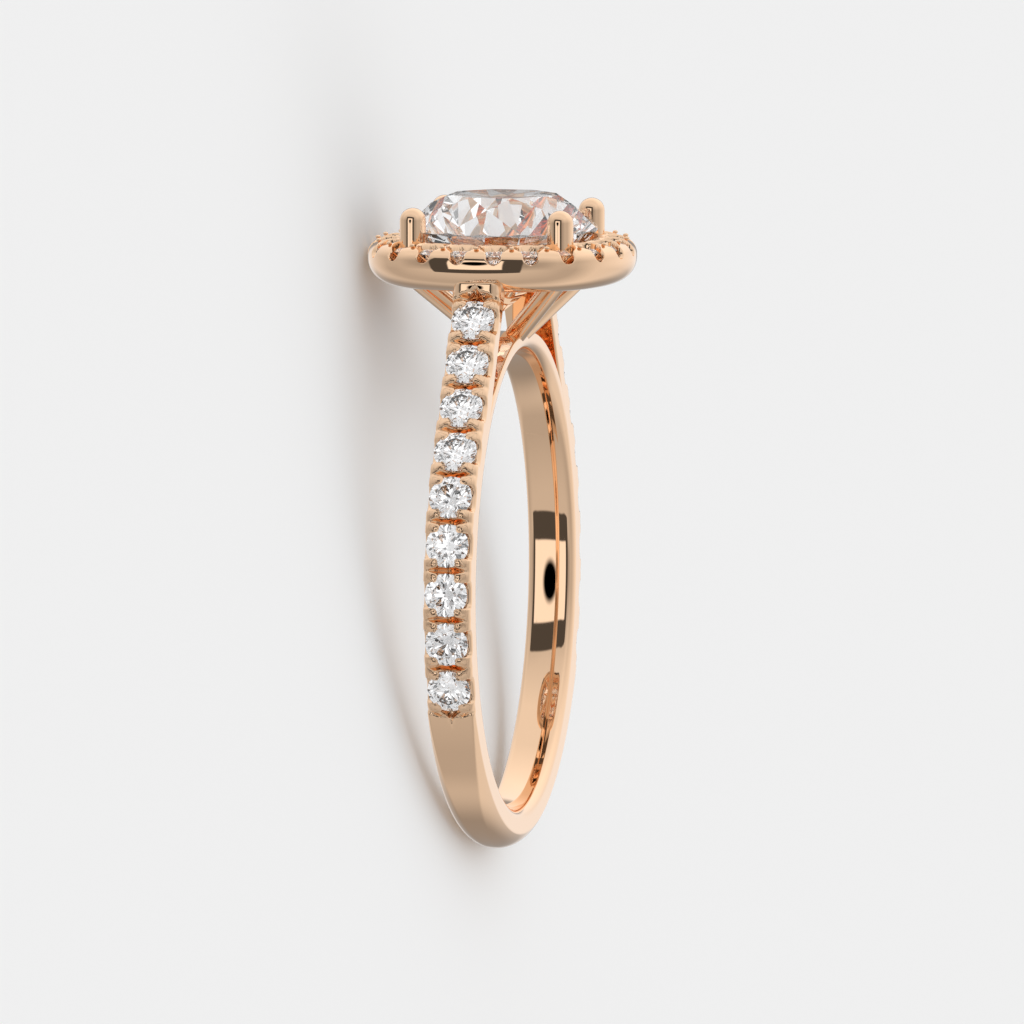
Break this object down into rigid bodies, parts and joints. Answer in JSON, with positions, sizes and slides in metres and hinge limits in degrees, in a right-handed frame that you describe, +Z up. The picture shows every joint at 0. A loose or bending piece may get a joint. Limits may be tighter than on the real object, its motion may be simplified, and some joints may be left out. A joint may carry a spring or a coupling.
{
  "type": "halo ring",
  "caption": "Slender ring with stones along both shoulders and a round stone in a four-claw basket inside a cushion-shaped halo of small stones.",
  "frame": {"origin": "middle of the finger hole, on its axis", "axes": "+Z up from the surface that the ring lies on; +X along that surface from the foot of the band towards the head; +Y across the band"},
  "size_m": [0.0236, 0.0198, 0.0095],
  "materials": {
    "rose_gold": "polished",
    "diamond": "polished"
  },
  "bodies": {
    "root": {"shank_and_setting": "rose_gold", "centre_stone": "diamond", "left_shoulder_stone_1": "diamond", "left_shoulder_stone_2": "diamond", "left_shoulder_stone_3": "diamond", "left_shoulder_stone_4": "diamond", "left_shoulder_stone_5": "diamond", "left_shoulder_stone_6": "diamond", "left_shoulder_stone_7": "diamond", "left_shoulder_stone_8": "diamond", "left_shoulder_stone_9": "diamond", "right_shoulder_stone_1": "diamond", "right_shoulder_stone_2": "diamond", "right_shoulder_stone_3": "diamond", "right_shoulder_stone_4": "diamond", "right_shoulder_stone_5": "diamond", "right_shoulder_stone_6": "diamond", "right_shoulder_stone_7": "diamond", "right_shoulder_stone_8": "diamond", "right_shoulder_stone_9": "diamond", "halo_stone_01": "diamond", "halo_stone_02": "diamond", "halo_stone_03": "diamond", "halo_stone_04": "diamond", "halo_stone_05": "diamond", "halo_stone_06": "diamond", "halo_stone_07": "diamond", "halo_stone_08": "diamond", "halo_stone_09": "diamond", "halo_stone_10": "diamond", "halo_stone_11": "diamond", "halo_stone_12": "diamond", "halo_stone_13": "diamond", "halo_stone_14": "diamond", "halo_stone_15": "diamond", "halo_stone_16": "diamond", "halo_stone_17": "diamond", "halo_stone_18": "diamond", "halo_stone_19": "diamond", "halo_stone_20": "diamond", "halo_stone_21": "diamond", "halo_stone_22": "diamond"}
  },
  "joints": []
}
